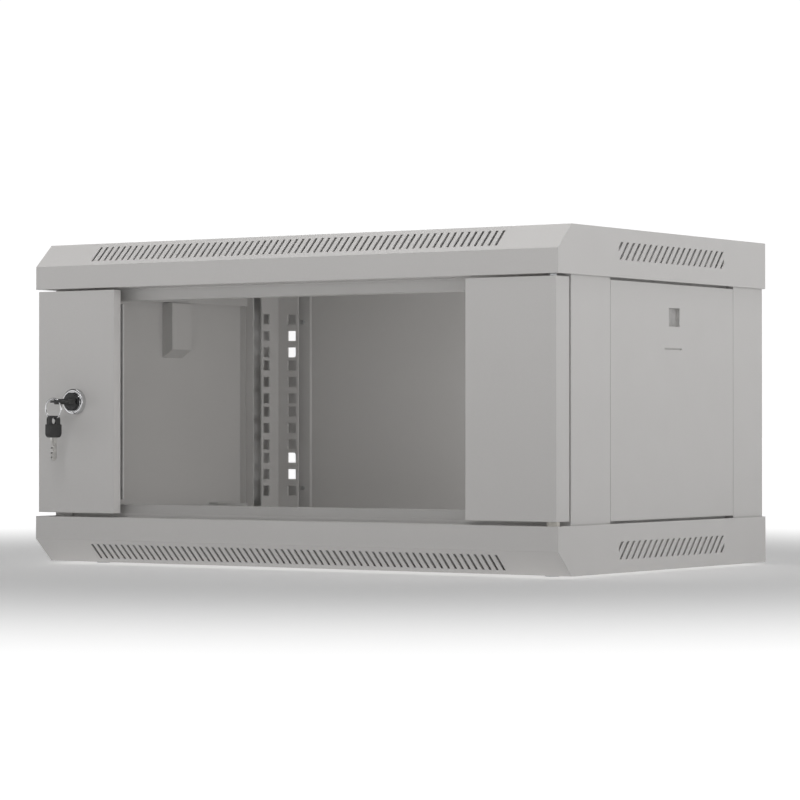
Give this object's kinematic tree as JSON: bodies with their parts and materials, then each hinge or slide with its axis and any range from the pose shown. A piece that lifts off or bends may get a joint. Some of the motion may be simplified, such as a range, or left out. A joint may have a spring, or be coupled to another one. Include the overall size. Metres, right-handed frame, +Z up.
{
  "type": "wall mount network cabinet",
  "caption": "Shallow steel wall cabinet for rack equipment: slotted bevelled roof and floor trays, glass door with painted side strips and a key lock, lift-off side panels.",
  "frame": {"origin": "the centre of the bounding box in plan, on the plane the floor bolt heads stand on", "axes": "+X to the right of someone facing the door, +Y into the cabinet towards the wall, +Z up"},
  "size_m": [0.54, 0.3804, 0.282],
  "materials": {
    "powder_coat": "light grey powder coat with a fine sand texture",
    "zinc_plate": "bright zinc plate",
    "chrome_plate": "polished chrome plate",
    "nickel_blade": "nickel plated, lightly worn",
    "black_plastic": "matt black moulding",
    "black_plug": "black lacquered metal",
    "washer_plastic": "natural nylon",
    "gasket": "black foam tape",
    "latch_plastic": "grey moulding",
    "glass": "clear tempered float glass"
  },
  "bodies": {
    "cabinet": {"back_panel": "powder_coat", "back_panel_rivets": "zinc_plate", "cable_cover_screws": "zinc_plate", "floor_bolts": "zinc_plate", "floor_cable_cover": "powder_coat", "floor_nuts": "zinc_plate", "floor_tray": "powder_coat", "front_left_mounting_rail": "powder_coat", "front_left_post": "powder_coat", "front_lower_crossbar": "powder_coat", "front_right_mounting_rail": "powder_coat", "front_right_post": "powder_coat", "front_upper_crossbar": "powder_coat", "lower_hinge_pin": "zinc_plate", "lower_hinge_washer": "washer_plastic", "lower_left_depth_bar": "powder_coat", "lower_left_side_rail": "powder_coat", "lower_right_depth_bar": "powder_coat", "lower_right_side_rail": "powder_coat", "rail_nuts": "zinc_plate", "rail_screws": "zinc_plate", "rear_left_mounting_rail": "powder_coat", "rear_left_post": "powder_coat", "rear_right_mounting_rail": "powder_coat", "rear_right_post": "powder_coat", "roof_cable_cover": "powder_coat", "roof_cover": "powder_coat", "upper_left_depth_bar": "powder_coat", "upper_left_side_rail": "powder_coat", "upper_right_depth_bar": "powder_coat", "upper_right_side_rail": "powder_coat"},
    "door": {"door_left_strip": "powder_coat", "door_right_strip": "powder_coat", "door_glass": "glass", "left_glass_gasket": "gasket", "right_glass_gasket": "gasket", "left_glass_clamp": "powder_coat", "right_glass_clamp": "powder_coat", "glass_clamp_studs": "zinc_plate", "glass_clamp_nuts": "zinc_plate", "door_lower_hinge_bracket": "powder_coat", "door_upper_hinge_bracket": "powder_coat", "lock_housing": "chrome_plate", "lock_nut": "zinc_plate"},
    "release_pin": {"upper_hinge_pin": "zinc_plate", "upper_pin_spring": "zinc_plate"},
    "lock_cylinder": {"lock_plug": "black_plug", "lock_cam": "zinc_plate", "cam_screw": "zinc_plate"},
    "inserted_key": {"inserted_key_head": "black_plastic", "inserted_key_blade": "nickel_blade"},
    "key_ring": {"key_ring": "chrome_plate"},
    "spare_key": {"spare_key_head": "black_plastic", "spare_key_blade": "nickel_blade"},
    "left_panel": {"left_side_panel": "powder_coat", "left_latch_box": "powder_coat"},
    "left_latch": {"left_latch_slider": "latch_plastic"},
    "right_panel": {"right_side_panel": "powder_coat", "right_latch_box": "powder_coat"},
    "right_latch": {"right_latch_slider": "latch_plastic"}
  },
  "joints": [
    {"name": "door_hinge", "type": "hinge", "parent": "cabinet", "child": "door", "pos_m": [0.26, -0.1508, 0.142], "axis": [0, 0, 1], "range_deg": [0, 180]},
    {"name": "release_pin_slide", "type": "slide", "parent": "door", "child": "release_pin", "axis": [0, 0, -1], "range_m": [0, 0.008], "stiffness_N_per_m": 400, "springref_m": -0.008, "deforming": ["upper_pin_spring"]},
    {"name": "lock_turn", "type": "hinge", "parent": "door", "child": "lock_cylinder", "pos_m": [-0.22485, -0.1498, 0.14275], "axis": [0, 1, 0], "range_deg": [0, 90]},
    {"name": "inserted_key_slide", "type": "slide", "parent": "lock_cylinder", "child": "inserted_key", "axis": [0, -1, 0], "range_m": [0, 0.024]},
    {"name": "key_ring_turn", "type": "hinge", "parent": "inserted_key", "child": "key_ring", "pos_m": [-0.23109, -0.1817, 0.13655], "axis": [0, 1, 0], "range_deg": [-30, 30]},
    {"name": "spare_key_swing", "type": "hinge", "parent": "key_ring", "child": "spare_key", "pos_m": [-0.23109, -0.1817, 0.12775], "axis": [1, 0, 0], "range_deg": [-60, 30]},
    {"name": "left_panel_slide", "type": "slide", "parent": "cabinet", "child": "left_panel", "axis": [-1, 0, 0], "range_m": [0, 0.06]},
    {"name": "left_latch_slide", "type": "slide", "parent": "left_panel", "child": "left_latch", "axis": [0, 0, 1], "range_m": [0, 0.008]},
    {"name": "right_panel_slide", "type": "slide", "parent": "cabinet", "child": "right_panel", "axis": [1, 0, 0], "range_m": [0, 0.06]},
    {"name": "right_latch_slide", "type": "slide", "parent": "right_panel", "child": "right_latch", "axis": [0, 0, 1], "range_m": [0, 0.008]}
  ]
}
